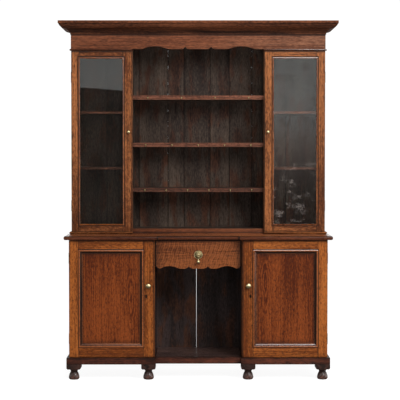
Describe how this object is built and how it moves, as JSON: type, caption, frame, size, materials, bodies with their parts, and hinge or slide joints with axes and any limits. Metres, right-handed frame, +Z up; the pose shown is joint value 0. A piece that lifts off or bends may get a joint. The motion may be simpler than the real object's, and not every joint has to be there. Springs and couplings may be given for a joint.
{
  "type": "welsh dresser",
  "caption": "Oak dresser with glazed cupboards and open shelves above a two-door base with a drawer and an open kennel.",
  "frame": {"origin": "on the floor, under the middle of the dresser's width and depth", "axes": "+Z up, +X to the right as seen from the front, +Y to the back; the front faces -Y"},
  "size_m": [1.684, 0.47, 2.144],
  "materials": {
    "oak": "waxed",
    "oak_panel": "waxed",
    "dark_oak": "waxed",
    "interior_oak": "dry",
    "brass": "worn",
    "iron": "dull",
    "glass": "clear"
  },
  "bodies": {
    "carcass": {"base_back_boards": "interior_oak", "base_floor_boards": "interior_oak", "base_top": "oak", "cornice": "oak", "cup_hooks": "brass", "drawer_runners": "interior_oak", "fixed_hinges": "iron", "frieze": "oak", "frieze_beads": "oak", "front_feet": "dark_oak", "left_cupboard_shelves": "interior_oak", "left_pedestal_inner_side": "interior_oak", "left_pedestal_outer_side": "oak", "left_rack_partition": "interior_oak", "left_rack_side": "oak", "lower_rack_shelf": "oak", "middle_rack_shelf": "oak", "pedestal_shelves": "interior_oak", "plinth_rails": "dark_oak", "rack_back_boards": "interior_oak", "rack_bottom_boards": "interior_oak", "rack_bottom_rail": "oak", "rack_foot_mouldings": "oak", "rack_top_board": "interior_oak", "rear_feet": "dark_oak", "right_cupboard_shelves": "interior_oak", "right_pedestal_inner_side": "interior_oak", "right_pedestal_outer_side": "oak", "right_rack_partition": "interior_oak", "right_rack_side": "oak", "upper_rack_shelf": "oak"},
    "left_lower_door": {"left_lower_door_frame": "oak", "left_lower_door_hinge_leaves": "iron", "left_lower_door_knob": "brass", "left_lower_door_lock_case": "iron", "left_lower_door_moulding": "oak", "left_lower_door_panel": "oak_panel"},
    "left_lock_bolt": {"left_lower_door_lock_bolt": "iron"},
    "left_upper_door": {"left_upper_door_frame": "oak", "left_upper_door_glass": "glass", "left_upper_door_glazing_bead": "oak", "left_upper_door_hinge_leaves": "iron"},
    "left_catch": {"left_upper_door_catch": "brass"},
    "right_lower_door": {"right_lower_door_frame": "oak", "right_lower_door_hinge_leaves": "iron", "right_lower_door_knob": "brass", "right_lower_door_lock_case": "iron", "right_lower_door_moulding": "oak", "right_lower_door_panel": "oak_panel"},
    "right_lock_bolt": {"right_lower_door_lock_bolt": "iron"},
    "right_upper_door": {"right_upper_door_frame": "oak", "right_upper_door_glass": "glass", "right_upper_door_glazing_bead": "oak", "right_upper_door_hinge_leaves": "iron"},
    "right_catch": {"right_upper_door_catch": "brass"},
    "drawer": {"drawer_front": "oak", "drawer_box": "interior_oak", "drawer_bottom": "interior_oak", "drawer_pull_rose": "brass"},
    "drawer_drop": {"drawer_pull_drop": "brass"}
  },
  "joints": [
    {"name": "left_lower_door_hinge", "type": "hinge", "parent": "carcass", "child": "left_lower_door", "pos_m": [-0.7695, -0.1848, 0.483], "axis": [0, 0, -1], "range_deg": [0, 170]},
    {"name": "left_upper_door_hinge", "type": "hinge", "parent": "carcass", "child": "left_upper_door", "pos_m": [-0.7695, 0.0012, 1.4195], "axis": [0, 0, -1], "range_deg": [0, 170]},
    {"name": "left_lock_slide", "type": "slide", "parent": "left_lower_door", "child": "left_lock_bolt", "axis": [1, 0, 0], "range_m": [0, 0.015]},
    {"name": "left_catch_turn", "type": "hinge", "parent": "left_upper_door", "child": "left_catch", "pos_m": [-0.422, -0.022, 1.477], "axis": [0, -1, 0], "range_deg": [0, 90]},
    {"name": "right_lower_door_hinge", "type": "hinge", "parent": "carcass", "child": "right_lower_door", "pos_m": [0.7695, -0.1848, 0.483], "axis": [0, 0, 1], "range_deg": [0, 170]},
    {"name": "right_upper_door_hinge", "type": "hinge", "parent": "carcass", "child": "right_upper_door", "pos_m": [0.7695, 0.0012, 1.4195], "axis": [0, 0, 1], "range_deg": [0, 170]},
    {"name": "right_lock_slide", "type": "slide", "parent": "right_lower_door", "child": "right_lock_bolt", "axis": [-1, 0, 0], "range_m": [0, 0.015]},
    {"name": "right_catch_turn", "type": "hinge", "parent": "right_upper_door", "child": "right_catch", "pos_m": [0.422, -0.022, 1.477], "axis": [0, 1, 0], "range_deg": [0, 90]},
    {"name": "drawer_slide", "type": "slide", "parent": "carcass", "child": "drawer", "axis": [0, -1, 0], "range_m": [0, 0.3]},
    {"name": "drawer_drop_swing", "type": "hinge", "parent": "drawer", "child": "drawer_drop", "pos_m": [0, -0.193, 0.734], "axis": [-1, 0, 0], "range_deg": [0, 90]}
  ]
}
